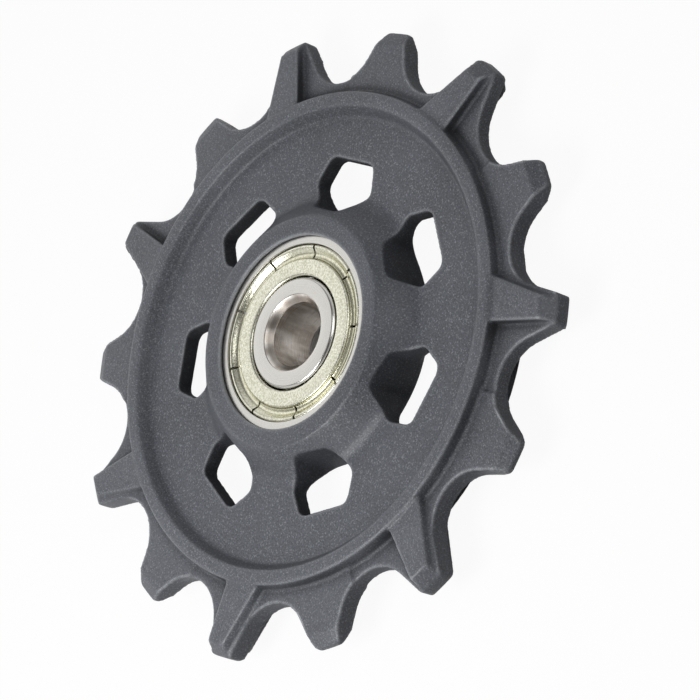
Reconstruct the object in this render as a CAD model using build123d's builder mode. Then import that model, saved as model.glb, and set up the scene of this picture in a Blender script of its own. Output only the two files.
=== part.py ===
# Derailleur jockey wheel: a moulded fourteen-tooth narrow-wide wheel on a shielded ball bearing.
# Millimetres, +Z along the axle. The wheel lies on the flat end of its hub at z = 0, and one of
# its wide teeth points along +X.

import os
from math import acos, atan2, cos, hypot, isclose, pi, radians, sin, sqrt, tan

from build123d import *

os.makedirs("parts", exist_ok=True)

# Chain that the teeth are made for
chain_pitch = 12.7
roller_diameter = 7.75

# Teeth
tooth_count = 14
valley_radius = 4.2
wide_height = 5.44
wide_tip_width = 2.7
wide_bevel_depth = 1.15
wide_bevel_land = 1.3
narrow_height = 4.74
narrow_tip_width = 2.8
narrow_bevel_depth = 1.25
narrow_bevel_land = 0.65
tip_round = 0.5

# Thickness of the low rim, of the narrow teeth and the land beside them, and of a wide tooth over
# its pads. A step on one side of each narrow tooth parts its land from the low rim.
rim_thickness = 1.65
narrow_thickness = 2.0
wide_thickness = 3.7
narrow_step_angle = 9.2

# Pad on each side of a wide tooth, with one edge nearly straight out and one edge slanted
pad_straight_foot = 0.75
pad_straight_tip = 1.2
pad_slant_foot = 3.9
pad_slant_tip = 0.95
pad_slant_lean = 0.4

# Raised ring inside the teeth, set back from the valley floor, with sloping walls. Its heights are
# taken from the middle plane.
ring_front_height = 2.15
ring_rear_height = 3.0
ring_setback = 1.16
ring_outer_slope = 0.3
ring_top_width = 1.3
ring_inner_slope = 0.85
ring_edge_round = 0.2
ring_floor_round = 0.4

# Web and hub
web_thickness = 1.8
hub_width = 7.0
hub_radius = 10.9
hub_edge_round = 0.25
hub_cone_angle = 45
hub_foot_round = 2.0

# Seat of the bearing in the hub, open at the rear and closed at the front by a lip
seat_chamfer = 0.15
seat_lip = 0.4

# Windows in the web, wider at the waist than at either end, each turned a little about its waist
window_count = 7
window_lead_angle = 29.3
window_turn = -7.0
window_outer_radius = 16.9
window_waist_radius = 14.1
window_inner_radius = 11.9
window_outer_width = 5.7
window_waist_width = 7.4
window_inner_width = 3.7
window_corner_round = 1.0
window_draft = 2.0

# Bearing envelope
bearing_bore = 6.0
bearing_outside = 19.0
bearing_width = 6.0
outer_chamfer = 0.3
bore_chamfer = 0.65
shoulder_chamfer = 0.2

# Balls and raceways
ball_count = 7
ball_diameter = 3.5
ball_circle = 12.6
race_conformity = 0.52
race_clearance = 0.03
inner_race_depth = 0.73
outer_race_depth = 0.68

# Shields and the grooves that hold them
shield_gauge = 0.25
shield_sink = 0.08
shield_rim_gap = 0.12
shield_rim_depth = 0.55
shield_rim_round = 0.28
shield_step_width = 0.12
shield_step_depth = 0.3
shield_floor_width = 0.1
shield_slope_width = 0.85
shield_crest_width = 0.2
shield_lip_width = 0.25
shield_bend = 0.1
shield_slit_count = 9
shield_slit_width = 0.26
shield_slit_lead = 11.4
ring_wall = 1.0
groove_mouth_overlap = 0.1
groove_mouth_depth = 0.2

# Ribbon cage and its rivets
cage_gauge = 0.3
cage_band = 0.95
cage_pocket_clearance = 0.1
rivet_diameter = 0.45
rivet_head_diameter = 0.8
rivet_head_height = 0.2

# Worked out from the values above
tooth_pitch = 2 * pi / tooth_count
root_radius = chain_pitch / (2 * sin(tooth_pitch / 2)) - roller_diameter / 2
wide_tip_radius = root_radius + wide_height
narrow_tip_radius = root_radius + narrow_height
ring_foot_outer_radius = root_radius - ring_setback
ring_top_outer_radius = ring_foot_outer_radius - ring_outer_slope
ring_top_inner_radius = ring_top_outer_radius - ring_top_width
ring_foot_inner_radius = ring_top_inner_radius - ring_inner_slope
pad_foot_radius = ring_top_outer_radius - ring_top_width / 2
hub_half = hub_width / 2
web_half = web_thickness / 2
ball_radius = ball_diameter / 2
ball_track = ball_circle / 2
ball_pitch = 360 / ball_count
race_radius = race_conformity * ball_diameter
bearing_radius = bearing_outside / 2
bearing_half = bearing_width / 2
inner_shoulder_radius = ball_track - ball_radius - race_clearance + inner_race_depth
outer_shoulder_radius = ball_track + ball_radius + race_clearance - outer_race_depth
shield_top = bearing_half - shield_sink
shield_floor = shield_top - shield_step_depth
shield_seat = shield_floor - shield_gauge
shield_lip_radius = bearing_radius - ring_wall
shield_crest_end = shield_lip_radius - shield_lip_width
shield_crest_start = shield_crest_end - shield_crest_width
shield_floor_end = shield_crest_start - shield_slope_width
shield_floor_start = shield_floor_end - shield_floor_width
shield_flat_end = shield_floor_start - shield_step_width
groove_mouth_radius = shield_lip_radius - groove_mouth_overlap

# All pieces share the middle plane of the hub and sections through the axle
middle = Plane.XY.offset(hub_half)
section = Plane(origin=(0, 0, hub_half), x_dir=(1, 0, 0), z_dir=(0, -1, 0))


def polar(radius, angle):
    """Point at a radius and an angle in radians."""
    return (radius * cos(angle), radius * sin(angle))


def turned(point, angle):
    """Point turned about the axle by an angle in radians."""
    return (
        point[0] * cos(angle) - point[1] * sin(angle),
        point[0] * sin(angle) + point[1] * cos(angle),
    )


def is_wide(index):
    """Wide and narrow teeth take turns."""
    return index % 2 == 0


def is_tip(radius):
    """True for the radius of a wide or a narrow tip."""
    return isclose(radius, wide_tip_radius) or isclose(radius, narrow_tip_radius)


def tip_corner(index, side):
    """Corner of a tooth's tip, before the tooth is turned to its place."""
    radius = wide_tip_radius if is_wide(index) else narrow_tip_radius
    width = wide_tip_width if is_wide(index) else narrow_tip_width
    return (sqrt(radius**2 - (width / 2) ** 2), side * width / 2)


def flank_foot(index, side):
    """Point where a tooth's straight flank runs into the valley arc."""
    tip = tip_corner(index, 1)
    centre = polar(root_radius + valley_radius, tooth_pitch / 2)
    reach = (tip[0] - centre[0], tip[1] - centre[1])
    lean = atan2(reach[1], reach[0]) - acos(valley_radius / hypot(*reach))
    return (centre[0] + valley_radius * cos(lean), side * (centre[1] + valley_radius * sin(lean)))


# Outline of all teeth: tip, straight flank and round valley, one tooth after the other
with BuildSketch(middle) as tooth_outline:
    with BuildLine():
        for index in range(tooth_count):
            angle = index * tooth_pitch
            tip_radius = wide_tip_radius if is_wide(index) else narrow_tip_radius
            left_tip = turned(tip_corner(index, -1), angle)
            right_tip = turned(tip_corner(index, 1), angle)
            left_foot = turned(flank_foot(index, -1), angle)
            right_foot = turned(flank_foot(index, 1), angle)
            next_foot = turned(flank_foot(index + 1, -1), angle + tooth_pitch)
            Line(left_foot, left_tip)
            ThreePointArc(left_tip, polar(tip_radius, angle), right_tip)
            Line(right_tip, right_foot)
            ThreePointArc(right_foot, polar(root_radius, angle + tooth_pitch / 2), next_foot)
    make_face()
    tip_corners = tooth_outline.vertices().filter_by(lambda v: is_tip(hypot(v.X, v.Y)))
    fillet(tip_corners, tip_round)
    Circle(ring_top_inner_radius, mode=Mode.SUBTRACT)


def tooth_land(first, start, end):
    """Part of the tooth outline between two angles about every second tooth."""
    with BuildSketch(middle) as land:
        for index in range(first, tooth_count, 2):
            angle = index * tooth_pitch
            with BuildLine():
                Polyline(
                    (0, 0),
                    polar(2 * wide_tip_radius, angle + start),
                    polar(2 * wide_tip_radius, angle + end),
                    close=True,
                )
            make_face()
        add(tooth_outline.sketch, mode=Mode.INTERSECT)
    return land.sketch


def tip_bevel(tip_radius, depth, land, thickness):
    """Section of what a bevel takes off the front of a tip."""
    with BuildSketch(section) as bevel:
        with BuildLine():
            Polyline(
                (tip_radius - depth, thickness / 2),
                (tip_radius, land / 2),
                (tip_radius + tip_round, land / 2),
                (tip_radius + tip_round, thickness / 2),
                close=True,
            )
        make_face()
    return bevel.sketch


# Land round the narrow teeth, land up to the slanted edge of each pad, and low rim between
step_angle = radians(narrow_step_angle)
narrow_land = tooth_land(1, -tooth_pitch / 2, step_angle)
slant_land = tooth_land(0, 0, tooth_pitch / 2)
low_rim = tooth_land(1, step_angle, tooth_pitch)
narrow_bevel = tip_bevel(narrow_tip_radius, narrow_bevel_depth, narrow_bevel_land, narrow_thickness)
wide_bevel = tip_bevel(wide_tip_radius, wide_bevel_depth, wide_bevel_land, wide_thickness)

# Pads on the front of the wide teeth: upright on one edge, leaning inwards on the slanted edge
with BuildPart() as wide_pads:
    for index in range(0, tooth_count, 2):
        angle = index * tooth_pitch
        for thickness, lean in ((rim_thickness, 0), (wide_thickness, pad_slant_lean)):
            with BuildSketch(middle.offset(thickness / 2)):
                with BuildLine():
                    Polyline(
                        turned((pad_foot_radius, -pad_straight_foot), angle),
                        turned((wide_tip_radius, -pad_straight_tip), angle),
                        turned((wide_tip_radius, pad_slant_tip - lean), angle),
                        turned((pad_foot_radius, pad_slant_foot - lean), angle),
                        close=True,
                    )
                make_face()
        loft()
    extrude(tooth_outline.sketch, amount=wide_thickness / 2, mode=Mode.INTERSECT)

# Wheel: front half of the teeth, mirrored to the rear, then hub, web and ring, then the windows
with BuildPart() as pulley_wheel:
    extrude(narrow_land, amount=narrow_thickness / 2)
    revolve(narrow_bevel, axis=Axis.Z, mode=Mode.SUBTRACT)
    extrude(slant_land, amount=narrow_thickness / 2)
    extrude(low_rim, amount=rim_thickness / 2)
    add(wide_pads.part)
    revolve(wide_bevel, axis=Axis.Z, mode=Mode.SUBTRACT)
    mirror(about=middle)

    with BuildSketch(section) as hub_section:
        cone_foot = hub_radius + (hub_half - web_half) / tan(radians(hub_cone_angle))
        lip_radius = bearing_radius - seat_lip
        front_mouth = (
            (bearing_radius, bearing_half),
            (lip_radius, bearing_half),
            (lip_radius, hub_half - seat_chamfer),
            (lip_radius + seat_chamfer, hub_half),
        )
        rear_mouth = (
            (bearing_radius, seat_chamfer - hub_half),
            (bearing_radius + seat_chamfer, -hub_half),
        )
        for side, mouth, ring_height in (
            (1, front_mouth, ring_front_height),
            (-1, rear_mouth, ring_rear_height),
        ):
            with BuildLine():
                Polyline(
                    (bearing_radius, 0),
                    *mouth,
                    (hub_radius, side * hub_half),
                    (cone_foot, side * web_half),
                    (ring_foot_inner_radius, side * web_half),
                    (ring_top_inner_radius, side * ring_height),
                    (ring_top_outer_radius, side * ring_height),
                    (ring_foot_outer_radius, side * rim_thickness / 2),
                    (ring_foot_outer_radius, 0),
                    close=True,
                )
            make_face()
            for corner, rounding in (
                ((cone_foot, side * web_half), hub_foot_round),
                ((hub_radius, side * hub_half), hub_edge_round),
                ((ring_foot_inner_radius, side * web_half), ring_floor_round),
                ((ring_top_inner_radius, side * ring_height), ring_edge_round),
                ((ring_top_outer_radius, side * ring_height), ring_edge_round),
            ):
                fillet(hub_section.vertices().sort_by_distance(corner)[0], rounding)
    revolve(axis=Axis.Z)

    with BuildSketch(middle) as windows:
        for index in range(window_count):
            angle = radians(window_lead_angle) + index * 2 * pi / window_count
            corners = (
                (window_outer_radius, -window_outer_width / 2),
                (window_outer_radius, window_outer_width / 2),
                (window_waist_radius, window_waist_width / 2),
                (window_inner_radius, window_inner_width / 2),
                (window_inner_radius, -window_inner_width / 2),
                (window_waist_radius, -window_waist_width / 2),
            )
            outline = []
            for radius, across in corners:
                out, along = turned((radius - window_waist_radius, across), radians(window_turn))
                outline.append(turned((window_waist_radius + out, along), angle))
            with BuildLine():
                Polyline(*outline, close=True)
            make_face()
        fillet(windows.vertices(), window_corner_round)
    extrude(amount=hub_half, both=True, taper=-window_draft, mode=Mode.SUBTRACT)
pulley_wheel.part.label = "pulley_wheel"
export_step(pulley_wheel.part, "parts/pulley_wheel.step")

# Outer ring: outside, chamfered corners, shield grooves at both ends and the ball groove
with BuildPart() as bearing_outer_ring:
    with BuildSketch(section):
        with BuildLine():
            groove_centre = ball_track + ball_radius + race_clearance - race_radius
            groove_edge = sqrt(race_radius**2 - (outer_shoulder_radius - groove_centre) ** 2)
            Polyline(
                (groove_centre + race_radius, 0),
                (bearing_radius, 0),
                (bearing_radius, bearing_half - outer_chamfer),
                (bearing_radius - outer_chamfer, bearing_half),
                (groove_mouth_radius, bearing_half),
                (groove_mouth_radius, bearing_half - groove_mouth_depth),
                (shield_lip_radius, bearing_half - groove_mouth_depth),
                (shield_lip_radius, shield_seat),
                (outer_shoulder_radius, shield_seat),
                (outer_shoulder_radius, groove_edge),
            )
            RadiusArc(
                (outer_shoulder_radius, groove_edge),
                (groove_centre + race_radius, 0),
                race_radius,
            )
        make_face()
        mirror(about=Plane.XZ)
    revolve(axis=Axis.Z)
bearing_outer_ring.part.label = "bearing_outer_ring"
export_step(bearing_outer_ring.part, "parts/bearing_outer_ring.step")

# Inner ring: bore with wide chamfers, flat ends and the ball groove
with BuildPart() as bearing_inner_ring:
    with BuildSketch(section):
        with BuildLine():
            groove_centre = ball_track - ball_radius - race_clearance + race_radius
            groove_edge = sqrt(race_radius**2 - (groove_centre - inner_shoulder_radius) ** 2)
            Polyline(
                (groove_centre - race_radius, 0),
                (bearing_bore / 2, 0),
                (bearing_bore / 2, bearing_half - bore_chamfer),
                (bearing_bore / 2 + bore_chamfer, bearing_half),
                (inner_shoulder_radius - shoulder_chamfer, bearing_half),
                (inner_shoulder_radius, bearing_half - shoulder_chamfer),
                (inner_shoulder_radius, groove_edge),
            )
            RadiusArc(
                (inner_shoulder_radius, groove_edge),
                (groove_centre - race_radius, 0),
                -race_radius,
            )
        make_face()
        mirror(about=Plane.XZ)
    revolve(axis=Axis.Z)
bearing_inner_ring.part.label = "bearing_inner_ring"
export_step(bearing_inner_ring.part, "parts/bearing_inner_ring.step")

# Balls, evenly spaced on the ball circle
for number in range(1, ball_count + 1):
    place = polar(ball_track, radians((number - 1) * ball_pitch))
    with BuildPart(Plane(origin=(place[0], place[1], hub_half))) as ball:
        Sphere(ball_radius)
    ball.part.label = f"ball_{number}"
    export_step(ball.part, f"parts/ball_{number}.step")

# Cage half: a flat band that arches over each ball, with a rivet hole between two balls
pocket_radius = ball_radius + cage_pocket_clearance
with BuildPart() as cage_front_half:
    with BuildSketch(middle):
        Circle(ball_track + cage_band / 2)
        Circle(ball_track - cage_band / 2, mode=Mode.SUBTRACT)
    extrude(amount=cage_gauge)
    for number in range(ball_count):
        outward = polar(1, radians(number * ball_pitch))
        spoke = Plane(origin=(0, 0, hub_half), x_dir=(0, 0, 1), z_dir=(outward[0], outward[1], 0))
        with BuildSketch(spoke.offset(ball_track - cage_band)):
            Circle(pocket_radius + cage_gauge)
        extrude(amount=2 * cage_band)
    with BuildSketch(middle):
        Circle(ball_track + cage_band / 2)
        Circle(ball_track - cage_band / 2, mode=Mode.SUBTRACT)
    extrude(amount=pocket_radius + cage_gauge, mode=Mode.INTERSECT)
    for number in range(ball_count):
        outward = polar(1, radians(number * ball_pitch))
        spoke = Plane(origin=(0, 0, hub_half), x_dir=(0, 0, 1), z_dir=(outward[0], outward[1], 0))
        with BuildSketch(spoke.offset(ball_track - cage_band)):
            Circle(pocket_radius)
        extrude(amount=2 * cage_band, mode=Mode.SUBTRACT)
    with BuildSketch(middle):
        with PolarLocations(ball_track, ball_count, start_angle=ball_pitch / 2):
            Circle(rivet_diameter / 2)
    extrude(amount=cage_gauge, mode=Mode.SUBTRACT)
cage_front_half.part.label = "cage_front_half"
export_step(cage_front_half.part, "parts/cage_front_half.step")

with BuildPart() as cage_rear_half:
    mirror(cage_front_half.part, about=middle)
cage_rear_half.part.label = "cage_rear_half"
export_step(cage_rear_half.part, "parts/cage_rear_half.step")

# Rivets that hold the two cage halves together
with BuildPart() as cage_rivets:
    with BuildSketch(middle):
        with PolarLocations(ball_track, ball_count, start_angle=ball_pitch / 2):
            Circle(rivet_diameter / 2)
    extrude(amount=cage_gauge, both=True)
    for end in (middle.offset(cage_gauge), middle.offset(-cage_gauge - rivet_head_height)):
        with BuildSketch(end):
            with PolarLocations(ball_track, ball_count, start_angle=ball_pitch / 2):
                Circle(rivet_head_diameter / 2)
        extrude(amount=rivet_head_height)
cage_rivets.part.label = "cage_rivets"
export_step(cage_rivets.part, "parts/cage_rivets.step")

# Shield: rolled inner rim, flat, step down to a floor, long slope up to a crest, and a lip that
# snaps into the ring's groove
with BuildPart() as front_shield:
    with BuildSketch(section) as shield_section:
        rim = inner_shoulder_radius + shield_rim_gap
        under = shield_top - shield_gauge
        crest_middle = (shield_crest_start + shield_crest_end) / 2
        with BuildLine():
            Polyline(
                (rim, shield_top - shield_rim_depth),
                (rim, shield_top),
                (shield_flat_end, shield_top),
                (shield_floor_start, shield_floor),
                (shield_floor_end, shield_floor),
                (shield_crest_start, shield_top),
                (shield_crest_end, shield_top),
                (shield_lip_radius, shield_floor),
                (shield_lip_radius, shield_seat),
                (shield_lip_radius - shield_gauge, shield_seat),
                (crest_middle, under),
                (shield_floor_end + shield_bend, shield_seat),
                (shield_floor_start - shield_gauge, shield_seat),
                (shield_flat_end - shield_gauge, under),
                (rim + shield_gauge, under),
                (rim + shield_gauge, shield_top - shield_rim_depth),
                close=True,
            )
        make_face()
        for corner, rounding in (
            ((rim, shield_top), shield_rim_round),
            ((shield_flat_end, shield_top), shield_bend),
            ((shield_floor_start, shield_floor), shield_bend),
            ((shield_floor_end, shield_floor), shield_bend),
            ((shield_crest_start, shield_top), shield_bend),
            ((shield_crest_end, shield_top), shield_bend),
        ):
            fillet(shield_section.vertices().sort_by_distance(corner)[0], rounding)
    revolve(axis=Axis.Z)
    with BuildSketch(middle.offset(shield_seat)):
        slit_length = shield_lip_radius - shield_floor_end
        with PolarLocations(
            shield_floor_end + slit_length / 2, shield_slit_count, start_angle=shield_slit_lead
        ):
            Rectangle(slit_length + shield_slit_width, shield_slit_width)
    extrude(amount=bearing_half - shield_seat, mode=Mode.SUBTRACT)
front_shield.part.label = "front_shield"
export_step(front_shield.part, "parts/front_shield.step")

with BuildPart() as rear_shield:
    mirror(front_shield.part, about=middle)
rear_shield.part.label = "rear_shield"
export_step(rear_shield.part, "parts/rear_shield.step")
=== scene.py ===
# %% [markdown]
# # A derailleur jockey wheel
#
# A jockey wheel guides the chain behind a bicycle's cassette. This one is a single dark nylon
# moulding with fourteen teeth, and a shielded ball bearing of bright steel is pressed into its hub.
# The lesson dresses the finished solids: it takes them as they are, gives each surface the finish
# that it has on the real wheel, lights them and sets a camera where the photographer stood.

# %% Load the frame
import math

import bmesh
import bpy
from mathutils import Matrix, Quaternion, Vector


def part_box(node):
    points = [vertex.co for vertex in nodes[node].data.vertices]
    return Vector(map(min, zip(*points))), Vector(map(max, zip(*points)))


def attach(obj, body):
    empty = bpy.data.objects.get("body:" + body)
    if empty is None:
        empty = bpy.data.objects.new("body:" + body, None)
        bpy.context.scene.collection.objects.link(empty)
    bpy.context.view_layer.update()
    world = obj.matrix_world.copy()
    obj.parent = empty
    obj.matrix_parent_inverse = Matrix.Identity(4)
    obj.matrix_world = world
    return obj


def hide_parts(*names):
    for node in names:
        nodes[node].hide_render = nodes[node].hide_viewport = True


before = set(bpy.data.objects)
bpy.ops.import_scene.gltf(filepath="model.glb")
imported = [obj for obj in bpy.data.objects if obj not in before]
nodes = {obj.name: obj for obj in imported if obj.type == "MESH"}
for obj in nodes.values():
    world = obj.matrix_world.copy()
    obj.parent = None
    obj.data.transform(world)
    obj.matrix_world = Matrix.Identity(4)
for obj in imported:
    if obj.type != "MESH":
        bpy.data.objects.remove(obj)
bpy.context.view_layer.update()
MM = 0.001

# %% [markdown]
# ## Measures that the scene takes from the solids
#
# Sizes that the model already has could be typed in again, but then they would go out of date. The
# middle plane and the radii are read from the boxes of the solids instead, so the looks still fit
# when a size in the model changes.


# %% Measures
def reach(piece_name):
    """Largest half width of a piece about the axle, in metres."""
    low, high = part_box(piece_name)
    return max(-low.x, high.x, -low.y, high.y)


wheel_low, wheel_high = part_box("pulley_wheel")
middle_height = (wheel_low.z + wheel_high.z) / 2
wheel_reach = reach("pulley_wheel")
bearing_reach = reach("bearing_outer_ring")
print("middle plane at", round(middle_height / MM, 2), "mm, tip radius", round(wheel_reach / MM, 2), "mm")

# %% [markdown]
# ## Small helpers for materials
#
# Paint charts and image editors give colours as hex values in sRGB, while Blender's shaders work with
# linear light. One function does that step for every colour in the file. A second one adds a shader
# node, sets its values and links its inputs, so each material below reads as a list of nodes. A third
# one opens a material with an empty list.


# %% Colour and node helpers
def linear(hex_colour):
    """Linear RGBA of an sRGB hex colour such as '#808080'."""
    parts = [int(hex_colour[i : i + 2], 16) / 255 for i in (1, 3, 5)]
    return [c / 12.92 if c <= 0.04045 else ((c + 0.055) / 1.055) ** 2.4 for c in parts] + [1.0]


def add_node(tree, kind, values=None, links=None, **settings):
    """Adds a node of a kind, with its settings, input values and links from other nodes' outputs."""
    made = tree.nodes.new(kind)
    for name, value in settings.items():
        setattr(made, name, value)
    for name, value in (values or {}).items():
        made.inputs[name].default_value = value
    for name, output in (links or {}).items():
        tree.links.new(output, made.inputs[name])
    return made


def blank_material(name):
    """New material with an empty node tree."""
    material = bpy.data.materials.new(name)
    material.use_nodes = True
    material.node_tree.nodes.clear()
    return material


print("mid grey is", round(linear("#808080")[0], 3), "in linear light")

# %% [markdown]
# ## Camera
#
# The photographer looked down on the face at about 43 degrees, from far away with a long lens, and
# turned the camera until the wheel seemed to lean. The wheel of this lesson lies on its hub, so the
# same picture needs a camera that is rolled about its own axis. Azimuth, elevation, roll, distance
# and lens were found by laying the outline of the solids over the teeth in the photograph.

# %% Camera
view_azimuth = math.radians(123.11)
view_elevation = math.radians(42.70)
view_roll = math.radians(-70.68)
view_distance = 304.47 * MM
view_lens = 172.9
sensor_width = 36.0
aim_point = Vector((3.95 * MM, 2.84 * MM, middle_height))

towards_camera = Vector(
    (
        math.sin(view_azimuth) * math.cos(view_elevation),
        -math.cos(view_azimuth) * math.cos(view_elevation),
        math.sin(view_elevation),
    )
)
camera_data = bpy.data.cameras.new("camera")
camera_data.lens = view_lens
camera_data.sensor_width = sensor_width
camera_data.clip_start = view_distance / 100
camera_data.clip_end = view_distance * 100
camera = bpy.data.objects.new("camera", camera_data)
camera.rotation_mode = "QUATERNION"
camera.location = aim_point + towards_camera * view_distance
level = (-towards_camera).to_track_quat("-Z", "Y")
camera.rotation_quaternion = level @ Quaternion((0, 0, 1), view_roll)
bpy.context.scene.collection.objects.link(camera)
bpy.context.scene.camera = camera
print("camera at", [round(v / MM) for v in camera.location], "mm")

# %% [markdown]
# ## Floor
#
# The picture is a plain product shot on white. A white floor under soft light would turn grey where
# the wheel shades it, so most of what the camera sees of the floor glows at a strength of exactly 1,
# which is white, and the rest is white paint that keeps a faint shadow. Polished metal mirrors the
# same white, but near the wheel it mirrors paint alone, with the wheel's real shadow on it. Close to
# the axle the glow fades for the camera too, so the bore looks down on a floor in shadow. Other rays
# meet grey card, which throws little light up into the windows. The sheet lies a hair below the hub,
# because two faces in one plane would flicker.

# %% Floor sheet
floor_half = 40 * wheel_reach
floor_gap = 0.02 * MM

floor_mesh = bpy.data.meshes.new("studio_floor")
floor_corners = [(x * floor_half, y * floor_half, 0) for x, y in ((-1, -1), (1, -1), (1, 1), (-1, 1))]
floor_mesh.from_pydata(floor_corners, [], [(0, 1, 2, 3)])
floor = bpy.data.objects.new("studio_floor", floor_mesh)
floor.location.z = wheel_low.z - floor_gap
bpy.context.scene.collection.objects.link(floor)
print("floor", round(2 * floor_half, 2), "m across")


# %% Floor glow
def ray_kinds(tree):
    """Outputs that are 1 for the camera's own rays, and for rays that metal or glass sends on."""
    path = add_node(tree, "ShaderNodeLightPath")
    shiny = add_node(
        tree,
        "ShaderNodeMath",
        links={0: path.outputs["Is Glossy Ray"], 1: path.outputs["Is Transmission Ray"]},
        operation="MAXIMUM",
    )
    return path.outputs["Is Camera Ray"], shiny.outputs[0]


floor_glow = 0.94
shade_reach = 0.4 * bearing_reach
mirror_start = 1.5 * wheel_reach
mirror_full = 3 * wheel_reach

floor_paint = blank_material("white_floor_paint")
tree = floor_paint.node_tree
camera_ray, shiny_ray = ray_kinds(tree)
place = add_node(tree, "ShaderNodeTexCoord").outputs["Object"]
away = add_node(tree, "ShaderNodeVectorMath", links={0: place}, operation="LENGTH")
seen_glow = add_node(
    tree,
    "ShaderNodeMapRange",
    {"From Min": shade_reach, "From Max": bearing_reach, "To Max": floor_glow},
    {"Value": away.outputs["Value"]},
)
mirrored_glow = add_node(
    tree,
    "ShaderNodeMapRange",
    {"From Min": mirror_start, "From Max": mirror_full, "To Max": floor_glow},
    {"Value": away.outputs["Value"]},
)
glow_share = add_node(
    tree,
    "ShaderNodeMix",
    links={0: camera_ray, 2: mirrored_glow.outputs["Result"], 3: seen_glow.outputs["Result"]},
)
print("floor glows to a share of", floor_glow)

# %% Floor paint
card = add_node(tree, "ShaderNodeBsdfDiffuse", {"Color": linear("#505050")})
paint = add_node(tree, "ShaderNodeBsdfDiffuse", {"Color": linear("#F6F6F6")})
glow = add_node(tree, "ShaderNodeEmission", {"Color": linear("#FFFFFF"), "Strength": 1.0})
white = add_node(
    tree,
    "ShaderNodeMixShader",
    links={"Fac": glow_share.outputs[0], 1: paint.outputs[0], 2: glow.outputs[0]},
)
seen = add_node(tree, "ShaderNodeMath", links={0: camera_ray, 1: shiny_ray}, operation="MAXIMUM")
mixed = add_node(
    tree, "ShaderNodeMixShader", links={"Fac": seen.outputs[0], 1: card.outputs[0], 2: white.outputs[0]}
)
add_node(tree, "ShaderNodeOutputMaterial", links={"Surface": mixed.outputs[0]})
floor_mesh.materials.append(floor_paint)
print("floor in", floor_paint.name)

# %% [markdown]
# ## White room
#
# Such a picture is taken in a white room. For the camera the room is plain white, like the floor, and
# a faint fill is all the light that it throws into the shadows. Bright metal mirrors a room as well:
# here the walls are white at the foot and fade upwards, where only the panels of the next step hang.
# A white sky all round would be simpler, but then the shields would lose the dark lines that make
# them look like metal.

# %% White room
fill_light = 0.04
wall_foot = math.sin(math.radians(20))
wall_top = math.sin(math.radians(50))

world = bpy.data.worlds.new("white_room")
world.use_nodes = True
world.node_tree.nodes.clear()
tree = world.node_tree
camera_ray, shiny_ray = ray_kinds(tree)
direction = add_node(tree, "ShaderNodeTexCoord").outputs["Generated"]
rise = add_node(tree, "ShaderNodeSeparateXYZ", links={0: direction})
wall_share = add_node(
    tree,
    "ShaderNodeMapRange",
    {"From Min": wall_top, "From Max": wall_foot},
    {"Value": rise.outputs["Z"]},
)
mirrored_wall = add_node(
    tree, "ShaderNodeMath", links={0: shiny_ray, 1: wall_share.outputs["Result"]}, operation="MULTIPLY"
)
seen = add_node(
    tree, "ShaderNodeMath", links={0: camera_ray, 1: mirrored_wall.outputs[0]}, operation="MAXIMUM"
)
fill = add_node(tree, "ShaderNodeBackground", {"Color": linear("#FFFFFF"), "Strength": fill_light})
white = add_node(tree, "ShaderNodeBackground", {"Color": linear("#FFFFFF"), "Strength": 1.0})
mixed = add_node(
    tree, "ShaderNodeMixShader", links={"Fac": seen.outputs[0], 1: fill.outputs[0], 2: white.outputs[0]}
)
add_node(tree, "ShaderNodeOutputWorld", links={"Surface": mixed.outputs[0]})
bpy.context.scene.world = world
bpy.context.scene.view_settings.view_transform = "Standard"
print("fill light", fill_light)

# %% [markdown]
# ## Soft panels
#
# Flat faces are brighter than upright walls all round the wheel, so the main light stands high. The
# low side of the picture is the brightest, so the panel leans that way and hangs near, and its light
# fades across the wheel. A pale ceiling is mirrored by the slopes of the shields, and a third panel
# stands where the flat ends of the bearing mirror it to the camera. The last one stands to the right
# in the picture and puts a sheen on the hub's cone. A panel's strength is the share of full daylight
# that it puts on a level white sheet. The shares add up to less than one, so no colour burns out.


# %% Soft panels
def soft_panel(name, direction, distance, width, share):
    """Square light from a direction, with the power that lights a level white sheet to a share."""
    towards = Vector(direction).normalized()
    lamp = bpy.data.lights.new(name, "AREA")
    lamp.shape = "SQUARE"
    lamp.size = width
    lamp.energy = share * (math.pi * distance) ** 2 / towards.z
    panel = bpy.data.objects.new(name, lamp)
    panel.location = aim_point + towards * distance
    panel.rotation_mode = "QUATERNION"
    panel.rotation_quaternion = (-towards).to_track_quat("-Z", "Y")
    bpy.context.scene.collection.objects.link(panel)
    print(name, round(lamp.energy, 2), "W")


soft_panel("main_panel", direction=(0.36, -0.44, 0.82), distance=0.16, width=0.08, share=0.58)
soft_panel("ceiling_panel", direction=(-0.08, 0.13, 0.99), distance=0.5, width=0.54, share=0.07)
soft_panel("bearing_panel", direction=(-0.62, -0.40, 0.68), distance=0.2, width=0.13, share=0.085)
soft_panel("sheen_panel", direction=(0.20, 0.70, 0.68), distance=0.5, width=0.24, share=0.11)

# %% [markdown]
# ## Glass-filled nylon, moulded
#
# Jockey wheels are injection moulded from nylon with short glass fibres. It is dark grey and dull:
# the mould is spark eroded, which leaves a fine grain, and fibre ends in the skin show as pale specks.
# One noise gives the grain as bump, roughness and a slight unevenness of the grey, a wide one lets the
# grey drift, and the peaks of a third one are the specks. The real grain is near 0.05 mm and a fibre
# is near 0.01 mm thick. Both are too fine for the picture, so they are drawn much coarser.


# %% Nylon grain
def per_metre(size_mm):
    """Texture scale that gives one feature for each size in millimetres."""
    return 1 / (size_mm * MM)


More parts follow.
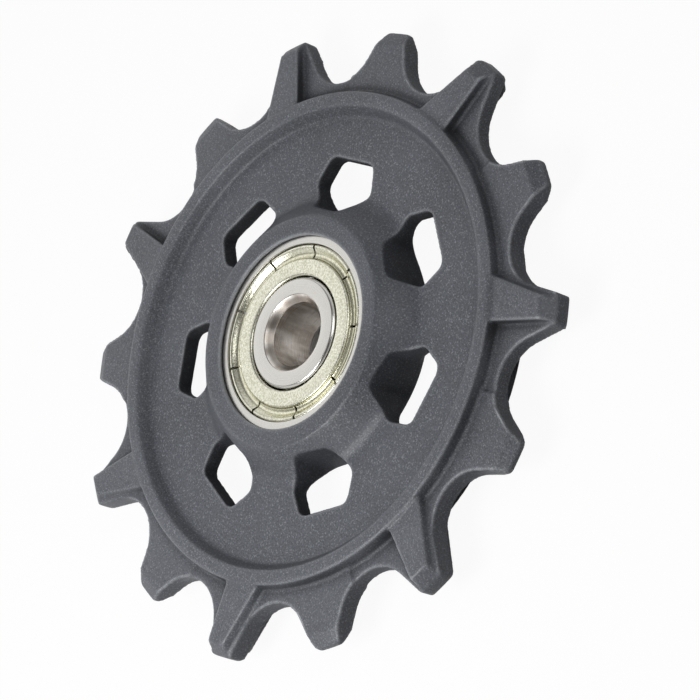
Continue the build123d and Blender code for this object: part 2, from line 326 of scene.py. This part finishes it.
def axle_place(tree):
    """Outputs with a point's place, its distance from the axle and its height, in metres."""
    place = add_node(tree, "ShaderNodeTexCoord").outputs["Object"]
    parts = add_node(tree, "ShaderNodeSeparateXYZ", links={0: place})
    flat = add_node(
        tree, "ShaderNodeCombineXYZ", links={0: parts.outputs["X"], 1: parts.outputs["Y"]}
    )
    away = add_node(tree, "ShaderNodeVectorMath", links={0: flat.outputs[0]}, operation="LENGTH")
    return place, away.outputs["Value"], parts.outputs["Z"]


grain_mm = 0.17
drift_mm = 8.0
grain_weight = 0.75
# Blender's noise seldom leaves this range, so the patterns spread their values over it.
noise_low = 0.3
noise_high = 0.7
grey_stops = ((noise_low, "#333539"), (noise_high, "#61646D"))

nylon = blank_material("nylon_moulded_spark_eroded")
tree = nylon.node_tree
place, away, _ = axle_place(tree)
drift = add_node(tree, "ShaderNodeTexNoise", {"Scale": per_metre(drift_mm)}, {"Vector": place})
grain = add_node(tree, "ShaderNodeTexNoise", {"Scale": per_metre(grain_mm)}, {"Vector": place})
greys = add_node(
    tree, "ShaderNodeMix", {"Factor": grain_weight}, {2: drift.outputs["Fac"], 3: grain.outputs["Fac"]}
)
grey = add_node(tree, "ShaderNodeValToRGB", links={"Fac": greys.outputs[0]})
for stop, (position, hex_colour) in zip(grey.color_ramp.elements, grey_stops):
    stop.position = position
    stop.color = linear(hex_colour)
print("nylon grain", grain_mm, "mm")

# %% Fibre ends
speck_mm = 0.14
speck_start = 0.58
speck_full = 0.8
speck_most = 0.45

speck = add_node(
    tree, "ShaderNodeTexNoise", {"Scale": per_metre(speck_mm), "Detail": 0.0}, {"Vector": place}
)
speck_share = add_node(
    tree,
    "ShaderNodeMapRange",
    {"From Min": speck_start, "From Max": speck_full, "To Max": speck_most},
    {"Value": speck.outputs["Fac"]},
)
specked = add_node(
    tree,
    "ShaderNodeMix",
    {7: linear("#A3A6AC")},
    {0: speck_share.outputs["Result"], 6: grey.outputs["Color"]},
    data_type="RGBA",
)
print("fibre ends", speck_mm, "mm")

# %% [markdown]
# ## Painted highlight and painted shade on the nylon
#
# Ridges are painted pale, a painted highlight along every edge, and the zone of the teeth is painted
# a touch paler, as painted light. Corners and window walls are painted dark, as painted shade, and
# made dull. Masks could be painted by hand, but here the shader finds these places itself, so they
# follow any change of shape. It sends out short feelers. Under a ridge the feelers that look inwards
# meet the opposite skin, and in a recess those that look outwards meet its walls.

# %% Painted highlight on ridges and teeth
feelers = 8
ridge_mm = 0.4
# Share of feelers that meet no skin: on a flat, and where a mask is at its strongest.
flat_free = 0.9
ridge_free = 0.72
painted_highlight_most = 0.75
lit_teeth_start = 0.68 * wheel_reach
lit_teeth_full = 0.78 * wheel_reach
lit_teeth_most = 0.035

inward = add_node(
    tree,
    "ShaderNodeAmbientOcclusion",
    {"Distance": ridge_mm * MM},
    inside=True,
    only_local=True,
    samples=feelers,
)
# Ridges are painted pale with the colour below: a painted highlight along every edge.
painted_highlight_share = add_node(
    tree,
    "ShaderNodeMapRange",
    {"From Min": flat_free, "From Max": ridge_free, "To Max": painted_highlight_most},
    {"Value": inward.outputs["AO"]},
)
# The zone of the teeth is painted a touch paler: painted light for the brighter outer teeth.
lit_teeth_share = add_node(
    tree,
    "ShaderNodeMapRange",
    {"From Min": lit_teeth_start, "From Max": lit_teeth_full, "To Max": lit_teeth_most},
    {"Value": away},
)
painted_light_share = add_node(
    tree,
    "ShaderNodeMath",
    links={0: painted_highlight_share.outputs["Result"], 1: lit_teeth_share.outputs["Result"]},
    operation="MAXIMUM",
)
# Pale colour of the painted highlight on ridges and the painted light on the teeth.
painted_light_colour = add_node(
    tree,
    "ShaderNodeMix",
    {7: linear("#C2C5CA")},
    {0: painted_light_share.outputs[0], 6: specked.outputs[2]},
    data_type="RGBA",
)
print("ridges rub pale within", ridge_mm, "mm of the edge")

# %% Painted shade in recesses
recess_mm = 7.0
open_free = 0.91
recess_free = 0.62
painted_shade_most = 0.88

# Recesses are painted nearly black with the colour below: painted shade where little light reaches.
outward = add_node(
    tree, "ShaderNodeAmbientOcclusion", {"Distance": recess_mm * MM}, only_local=True, samples=feelers
)
painted_shade_share = add_node(
    tree,
    "ShaderNodeMapRange",
    {"From Min": open_free, "From Max": recess_free, "To Max": painted_shade_most},
    {"Value": outward.outputs["AO"]},
)
painted_shade_colour = add_node(
    tree,
    "ShaderNodeMix",
    {7: linear("#15161A")},
    {0: painted_shade_share.outputs["Result"], 6: painted_light_colour.outputs[2]},
    data_type="RGBA",
)
print("grime settles where walls are within", recess_mm, "mm")

# %% Nylon skin
sheen_rough = 0.35
dull_rough = 0.5
recess_rough = 0.9
grain_depth = 0.04 * MM
nylon_ior = 1.53

rough = add_node(
    tree,
    "ShaderNodeMapRange",
    {"From Min": noise_low, "From Max": noise_high, "To Min": sheen_rough, "To Max": dull_rough},
    {"Value": grain.outputs["Fac"]},
)
# The painted shade mask also makes recesses duller.
skin_rough = add_node(
    tree,
    "ShaderNodeMix",
    {3: recess_rough},
    {0: painted_shade_share.outputs["Result"], 2: rough.outputs["Result"]},
)
bump = add_node(
    tree, "ShaderNodeBump", {"Strength": 0.7, "Distance": grain_depth}, {"Height": grain.outputs["Fac"]}
)
skin = add_node(
    tree,
    "ShaderNodeBsdfPrincipled",
    {"IOR": nylon_ior},
    {
        "Base Color": painted_shade_colour.outputs[2],
        "Roughness": skin_rough.outputs[0],
        "Normal": bump.outputs["Normal"],
    },
)
add_node(tree, "ShaderNodeOutputMaterial", links={"Surface": skin.outputs[0]})
print(nylon.name, "has", len(tree.nodes), "nodes")

# %% [markdown]
# ## The moulded wheel
#
# The solid has crisp edges, but no moulding does: molten nylon never quite fills a sharp corner, and
# the chain soon rounds what is left. The piece starts as a copy of the solid's mesh. Remeshing lays an
# even skin of small cells over it, and a few rounds of smoothing ease every edge by the same amount,
# which no list of edges to bevel would do as evenly. Flat areas need few triangles, so most are
# dropped again. The edges are then round in the model itself, and from every side.

# %% Moulded wheel
skin_cell = 0.15 * MM
easing_strength = 0.5
easing_rounds = 5
kept_share = 0.29
weld_distance = 0.002 * MM


def moulded_copy(node_name, piece_name):
    """Copy of a node with an even skin and eased edges."""
    work = bmesh.new()
    work.from_mesh(nodes[node_name].data)
    bmesh.ops.remove_doubles(work, verts=work.verts, dist=weld_distance)
    mesh = bpy.data.meshes.new(piece_name)
    work.to_mesh(mesh)
    work.free()
    piece = bpy.data.objects.new(piece_name, mesh)
    bpy.context.scene.collection.objects.link(piece)
    skin = piece.modifiers.new("even_skin", "REMESH")
    skin.mode = "VOXEL"
    skin.voxel_size = skin_cell
    easing = piece.modifiers.new("eased_edges", "SMOOTH")
    easing.factor = easing_strength
    easing.iterations = easing_rounds
    piece.modifiers.new("fewer_triangles", "DECIMATE").ratio = kept_share
    graph = bpy.context.evaluated_depsgraph_get()
    piece.data = bpy.data.meshes.new_from_object(piece.evaluated_get(graph))
    piece.modifiers.clear()
    piece.data.shade_smooth()
    print(piece_name, len(piece.data.polygons), "faces")
    return piece


moulded_wheel = moulded_copy("pulley_wheel", "moulded_wheel")
moulded_wheel.data.materials.clear()
moulded_wheel.data.materials.append(nylon)
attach(moulded_wheel, "wheel")
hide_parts("pulley_wheel")

# %% [markdown]
# ## Bearing steel
#
# The rings are hardened chromium steel, turned and then ground on their flat ends. Grinding and
# turning both leave lines that run round the axle, so the pattern is a noise along one number only:
# the distance from the axle plus the height. On a flat end that draws circles, and in the bore it
# draws rings. The real lines are a few thousandths of a millimetre apart and are drawn much coarser.
# An anisotropic shader could stretch the highlights instead, but it needs a direction on every face.
# The bore and its chamfer keep a thin film of old oil, brown and wiped into streaks along the axle.
# On the chamfer the colour is painted darker, darkest next to the bore: painted shade that dims the
# chamfer's bright reflection.

# %% Ground lines
face_depth = 0.01 * MM
edge_width = 0.03 * MM
grind_mm = 0.09

ring_points = [vertex.co for vertex in nodes["bearing_inner_ring"].data.vertices]
ring_top = max(point.z for point in ring_points)
bore_reach = min(point.to_2d().length for point in ring_points)
chamfer_reach = min(point.to_2d().length for point in ring_points if ring_top - point.z < face_depth)

ring_steel = blank_material("bearing_steel_ground")
tree = ring_steel.node_tree
place, away, height = axle_place(tree)
round_axle = add_node(tree, "ShaderNodeMath", links={0: away, 1: height}, operation="ADD")
lines = add_node(
    tree,
    "ShaderNodeTexNoise",
    {"Scale": per_metre(grind_mm), "Detail": 3.0},
    {"W": round_axle.outputs[0]},
    noise_dimensions="1D",
)
ground = add_node(
    tree,
    "ShaderNodeMapRange",
    {"From Min": chamfer_reach - edge_width, "From Max": chamfer_reach},
    {"Value": away},
)
print("bore", round(bore_reach / MM, 2), "mm, ground end from", round(chamfer_reach / MM, 2), "mm")

# %% Oil film and painted shade on the chamfer
streak_mm = 1.1
streak_squeeze = (1.0, 1.0, 0.35)
film_stops = ((0.38, "#BEB5AC"), (0.62, "#F0ECE7"))
chamfer_shade_start = chamfer_reach - 0.06 * MM
chamfer_shade_full = chamfer_reach - 0.3 * MM
chamfer_shade_most = 0.8
bore_margin = 0.02 * MM

drawn_out = add_node(
    tree, "ShaderNodeVectorMath", {1: streak_squeeze}, {0: place}, operation="MULTIPLY"
)
streaks = add_node(
    tree,
    "ShaderNodeTexNoise",
    {"Scale": per_metre(streak_mm), "Detail": 4.0},
    {"Vector": drawn_out.outputs[0]},
)
film = add_node(tree, "ShaderNodeValToRGB", links={"Fac": streaks.outputs["Fac"]})
for stop, (position, hex_colour) in zip(film.color_ramp.elements, film_stops):
    stop.position = position
    stop.color = linear(hex_colour)
# The chamfer is painted darker towards the bore with the colour below: painted shade that dims its
# reflection.
chamfer_shade_depth = add_node(
    tree,
    "ShaderNodeMapRange",
    {"From Min": chamfer_shade_start, "From Max": chamfer_shade_full, "To Max": chamfer_shade_most},
    {"Value": away},
)
off_bore = add_node(
    tree, "ShaderNodeMath", {1: bore_reach + bore_margin}, {0: away}, operation="GREATER_THAN"
)
chamfer_shade_share = add_node(
    tree,
    "ShaderNodeMath",
    links={0: chamfer_shade_depth.outputs["Result"], 1: off_bore.outputs[0]},
    operation="MULTIPLY",
)
chamfer_shaded = add_node(
    tree,
    "ShaderNodeMix",
    {7: linear("#7C756E")},
    {0: chamfer_shade_share.outputs[0], 6: film.outputs["Color"]},
    data_type="RGBA",
)
print("oil film full", round((chamfer_shade_full - bore_reach) / MM, 2), "mm from the bore")

# %% Ring steel
turned_rough = (0.24, 0.4)
ground_rough = (0.2, 0.34)
line_depth = 0.02 * MM

colour = add_node(
    tree,
    "ShaderNodeMix",
    {7: linear("#C6C4BF")},
    {0: ground.outputs["Result"], 6: chamfer_shaded.outputs[2]},
    data_type="RGBA",
)
line_rough = [
    add_node(
        tree,
        "ShaderNodeMapRange",
        {"From Min": noise_low, "From Max": noise_high, "To Min": fine, "To Max": coarse},
        {"Value": lines.outputs["Fac"]},
    ).outputs["Result"]
    for fine, coarse in (turned_rough, ground_rough)
]
rough = add_node(
    tree, "ShaderNodeMix", links={0: ground.outputs["Result"], 2: line_rough[0], 3: line_rough[1]}
)
bump = add_node(
    tree, "ShaderNodeBump", {"Strength": 0.12, "Distance": line_depth}, {"Height": lines.outputs["Fac"]}
)
steel = add_node(
    tree,
    "ShaderNodeBsdfPrincipled",
    {"Metallic": 1.0},
    {
        "Base Color": colour.outputs[2],
        "Roughness": rough.outputs[0],
        "Normal": bump.outputs["Normal"],
    },
)
add_node(tree, "ShaderNodeOutputMaterial", links={"Surface": steel.outputs[0]})
print(ring_steel.name, "has", len(tree.nodes), "nodes")

# %% [markdown]
# ## Zinc plated shields
#
# The shields are pressed from thin steel sheet and plated with zinc, which is passivated in a bath
# that leaves it faintly yellow. The sheet is matt from the rolls, so its face sparkles finely. Its
# real grain is finer than the picture can show and is drawn coarser. One noise is both its tint and
# its bump, so a bright grain is also a raised one. On the sloping band next to the outer ring the bath
# drains slowly, and the yellow is deeper there. The distance from the axle says where that band is,
# so nothing has to be unwrapped or painted.

# %% Shield zinc
sheet_grain_mm = 0.18
sheet_depth = 0.03 * MM
zinc_rough = 0.27
tint_stops = ((noise_low, "#B9B8A4"), (noise_high, "#E2E1D2"))
shield_reach = reach("front_shield")
band_start = shield_reach - 1.5 * MM
band_end = shield_reach - 0.5 * MM
pool_most = 0.5

shield_zinc = blank_material("zinc_plated_pressed_sheet")
tree = shield_zinc.node_tree
place, away, _ = axle_place(tree)
sheet = add_node(tree, "ShaderNodeTexNoise", {"Scale": per_metre(sheet_grain_mm)}, {"Vector": place})
tint = add_node(tree, "ShaderNodeValToRGB", links={"Fac": sheet.outputs["Fac"]})
for stop, (position, hex_colour) in zip(tint.color_ramp.elements, tint_stops):
    stop.position = position
    stop.color = linear(hex_colour)
pooled = add_node(
    tree,
    "ShaderNodeMapRange",
    {"From Min": band_end, "From Max": band_start, "To Max": pool_most},
    {"Value": away},
)
in_band = add_node(tree, "ShaderNodeMath", {1: band_start}, {0: away}, operation="GREATER_THAN")
pool_share = add_node(
    tree,
    "ShaderNodeMath",
    links={0: pooled.outputs["Result"], 1: in_band.outputs[0]},
    operation="MULTIPLY",
)
colour = add_node(
    tree,
    "ShaderNodeMix",
    {7: linear("#D6D2AC")},
    {0: pool_share.outputs[0], 6: tint.outputs["Color"]},
    data_type="RGBA",
)
bump = add_node(
    tree, "ShaderNodeBump", {"Strength": 0.5, "Distance": sheet_depth}, {"Height": sheet.outputs["Fac"]}
)
zinc = add_node(
    tree,
    "ShaderNodeBsdfPrincipled",
    {"Metallic": 1.0, "Roughness": zinc_rough},
    {"Base Color": colour.outputs[2], "Normal": bump.outputs["Normal"]},
)
add_node(tree, "ShaderNodeOutputMaterial", links={"Surface": zinc.outputs[0]})
print("yellow band from", round(band_start / MM, 2), "to", round(band_end / MM, 2), "mm")

# %% [markdown]
# ## Turned rings
#
# A ring is turned and ground, so its whole form is one section swept about the axle. The lesson takes
# that section from the solid by slicing it on one side of the axle. The outline is then sampled evenly
# and smoothed a little, which rounds each corner as a tumbled ring's corners are rounded, and points
# on straight runs are dropped again. Spinning the outline in fine steps gives a mesh without facets.
# The shields are spun from their sections too, so the slice is taken midway between two of their slits.

# %% Section of a solid
slice_angle = math.radians(31.4)


def section_of(node_name):
    """Outline of a node's section on one side of the axle, as points of distance and height."""
    work = bmesh.new()
    work.from_mesh(nodes[node_name].data)
    bmesh.ops.remove_doubles(work, verts=work.verts, dist=weld_distance)
    bmesh.ops.rotate(work, verts=work.verts, matrix=Matrix.Rotation(-slice_angle, 3, "Z"))
    whole = work.verts[:] + work.edges[:] + work.faces[:]
    cut = bmesh.ops.bisect_plane(work, geom=whole, plane_co=(0, 0, 0), plane_no=(0, 1, 0))["geom_cut"]
    beside = {}
    for edge in cut:
        if isinstance(edge, bmesh.types.BMEdge) and edge.verts[0].co.x > 0:
            for here, there in (edge.verts, reversed(edge.verts)):
                beside.setdefault(here, []).append(there)
    walk = [next(iter(beside))]
    walk.append(beside[walk[0]][0])
    while walk[-1] is not walk[0]:
        one, other = beside[walk[-1]]
        walk.append(other if one is walk[-2] else one)
    outline = [Vector((vert.co.x, vert.co.z)) for vert in walk[:-1]]
    work.free()
    print("section of", node_name, "has", len(outline), "corners")
    return outline


# %% Easing an outline
bend_kept = math.radians(0.4)


def sampled(outline, spacing):
    """Closed outline with points at an even spacing."""
    points = []
    for start, end in zip(outline, outline[1:] + outline[:1]):
        count = max(1, round((end - start).length / spacing))
        points += [start.lerp(end, index / count) for index in range(count)]
    return points


def eased(points, rounds):
    """Closed outline with its corners rounded by smoothing, without points on straight runs."""
    for _ in range(rounds):
        before, after = points[-1:] + points[:-1], points[1:] + points[:1]
        points = [(a + 2 * b + c) / 4 for a, b, c in zip(before, points, after)]
    before, after = points[-1:] + points[:-1], points[1:] + points[:1]
    kept = [b for a, b, c in zip(before, points, after) if (b - a).angle(c - b) > bend_kept]
    print("eased outline keeps", len(kept), "of", len(points), "points")
    return kept


# %% Spinning
spin_steps = 288
crease_angle = math.radians(40)


def spin(work, outline, start, sweep):
    """Adds the solid that an outline sweeps about the axle, closed by caps if it is no full turn."""
    steps = max(2, round(spin_steps * sweep / math.tau))
    is_ring = math.isclose(sweep, math.tau)
    columns = []
    for step in range(steps if is_ring else steps + 1):
        turn = start + sweep * step / steps
        across = Vector((math.cos(turn), math.sin(turn), 0))
        columns.append([work.verts.new(across * point.x + Vector((0, 0, point.y))) for point in outline])
    for left, right in zip(columns, columns[1:] + columns[:1] if is_ring else columns[1:]):
        for index in range(len(outline)):
            work.faces.new((left[index - 1], right[index - 1], right[index], left[index]))
    if not is_ring:
        work.faces.new(columns[0])
        work.faces.new(columns[-1])


def stand_in(work, node_name, piece_name, body, material):
    """Finished object from a mesh in the making, which replaces a node and rides its body."""
    bmesh.ops.recalc_face_normals(work, faces=work.faces)
    mesh = bpy.data.meshes.new(piece_name)
    work.to_mesh(mesh)
    work.free()
    mesh.shade_smooth()
    mesh.set_sharp_from_angle(angle=crease_angle)
    mesh.materials.append(material)
    piece = bpy.data.objects.new(piece_name, mesh)
    bpy.context.scene.collection.objects.link(piece)
    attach(piece, body)
    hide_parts(node_name)
    print(piece_name, len(mesh.polygons), "faces")


# %% Rings
ring_spacing = 0.05 * MM
ring_easing = 2

for node_name, piece_name, body in (
    ("bearing_outer_ring", "turned_outer_ring", "wheel"),
    ("bearing_inner_ring", "turned_inner_ring", "inner_ring"),
):
    work = bmesh.new()
    outline = eased(sampled(section_of(node_name), ring_spacing), ring_easing)
    spin(work, outline, 0, math.tau)
    stand_in(work, node_name, piece_name, body, ring_steel)

# %% [markdown]
# ## Pressed shields
#
# A shield is pressed from sheet, so its bends are softer than the corners of a turned ring, and its
# outline is smoothed more. Before that its channel, between the flat and the crest of the rim, is
# sunk deeper than in the solid, down to the seat at most, because the photograph shows it deeper. Nine
# slits let the outer band spring into the ring's groove. The inner disc is spun as a full ring and the
# band in nine sectors, with the slits as the gaps between them, so no cutting tool is needed.

# %% Pressed channel
slit_start = shield_reach - 1.43 * MM
channel_end = shield_reach - 0.45 * MM
channel_extra = 0.24 * MM


def press_channel(points):
    """Sinks the channel between the flat and the crest towards the inside, to the seat at most."""
    heights = [point.y for point in points]
    side = 1 if min(heights) > middle_height else -1
    seat = min(side * height for height in heights)
    for point in points:
        share = (point.x - slit_start) / (channel_end - slit_start)
        if 0 < share < 1:
            sunk = side * point.y - channel_extra * math.sin(math.pi * share) ** 2
            point.y = side * max(sunk, seat)
    print("channel from", round(slit_start / MM, 2), "to", round(channel_end / MM, 2), "mm")


# %% Shields
sheet_spacing = 0.04 * MM
sheet_easing = 30
slit_count = 9
slit_lead = math.radians(11.4)
slit_width = 0.26 * MM
slit_gap = slit_width / shield_reach
sector = math.tau / slit_count

for node_name in ("front_shield", "rear_shield"):
    points = sampled(section_of(node_name), sheet_spacing)
    press_channel(points)
    outline = eased(points, sheet_easing)
    disc = [point for point in outline if point.x <= slit_start]
    band = [point for point in outline if point.x >= slit_start]
    work = bmesh.new()
    spin(work, disc, 0, math.tau)
    for index in range(slit_count):
        spin(work, band, slit_lead + index * sector + slit_gap / 2, sector - slit_gap)
    stand_in(work, node_name, "pressed_" + node_name, "wheel", shield_zinc)

# %% [markdown]
# ## Balls and cage
#
# Both are hidden behind the shields, but an open bearing shows them, so they get their real finish.
# Balls are lapped until they mirror, with a trace of grease as faint cloudiness. The cage is pressed
# from cold rolled strip, which keeps a fine grain from the rolls and is a little darker. That grain
# is drawn coarser than it is. Their shapes are right as they are, so the solids stay and only their
# materials change.

# %% Lapped balls
cloud_mm = 1.2
clear_rough = 0.05
hazy_rough = 0.14

lapped_steel = blank_material("ball_steel_lapped")
tree = lapped_steel.node_tree
place = add_node(tree, "ShaderNodeTexCoord").outputs["Object"]
cloud = add_node(tree, "ShaderNodeTexNoise", {"Scale": per_metre(cloud_mm)}, {"Vector": place})
haze = add_node(
    tree,
    "ShaderNodeMapRange",
    {"To Min": clear_rough, "To Max": hazy_rough},
    {"Value": cloud.outputs["Fac"]},
)
steel = add_node(
    tree,
    "ShaderNodeBsdfPrincipled",
    {"Metallic": 1.0, "Base Color": linear("#D6D4D2")},
    {"Roughness": haze.outputs["Result"]},
)
add_node(tree, "ShaderNodeOutputMaterial", links={"Surface": steel.outputs[0]})
print("grease clouds", cloud_mm, "mm")

# %% Rolled cage
strip_grain_mm = 0.15
strip_depth = 0.02 * MM
bright_rough = 0.25
matt_rough = 0.45

rolled_steel = blank_material("cage_steel_rolled_strip")
tree = rolled_steel.node_tree
place = add_node(tree, "ShaderNodeTexCoord").outputs["Object"]
rolled = add_node(tree, "ShaderNodeTexNoise", {"Scale": per_metre(strip_grain_mm)}, {"Vector": place})
shine = add_node(
    tree,
    "ShaderNodeMapRange",
    {"To Min": bright_rough, "To Max": matt_rough},
    {"Value": rolled.outputs["Fac"]},
)
bump = add_node(
    tree, "ShaderNodeBump", {"Strength": 0.2, "Distance": strip_depth}, {"Height": rolled.outputs["Fac"]}
)
steel = add_node(
    tree,
    "ShaderNodeBsdfPrincipled",
    {"Metallic": 1.0, "Base Color": linear("#B9B3AC")},
    {"Roughness": shine.outputs["Result"], "Normal": bump.outputs["Normal"]},
)
add_node(tree, "ShaderNodeOutputMaterial", links={"Surface": steel.outputs[0]})
print("strip grain", strip_grain_mm, "mm")

# %% Finishes on the solids that stay
for name, part in nodes.items():
    if name.startswith(("ball", "cage")):
        part.data.materials.clear()
        part.data.materials.append(lapped_steel if name.startswith("ball") else rolled_steel)
        print(name, "in", part.data.materials[0].name)
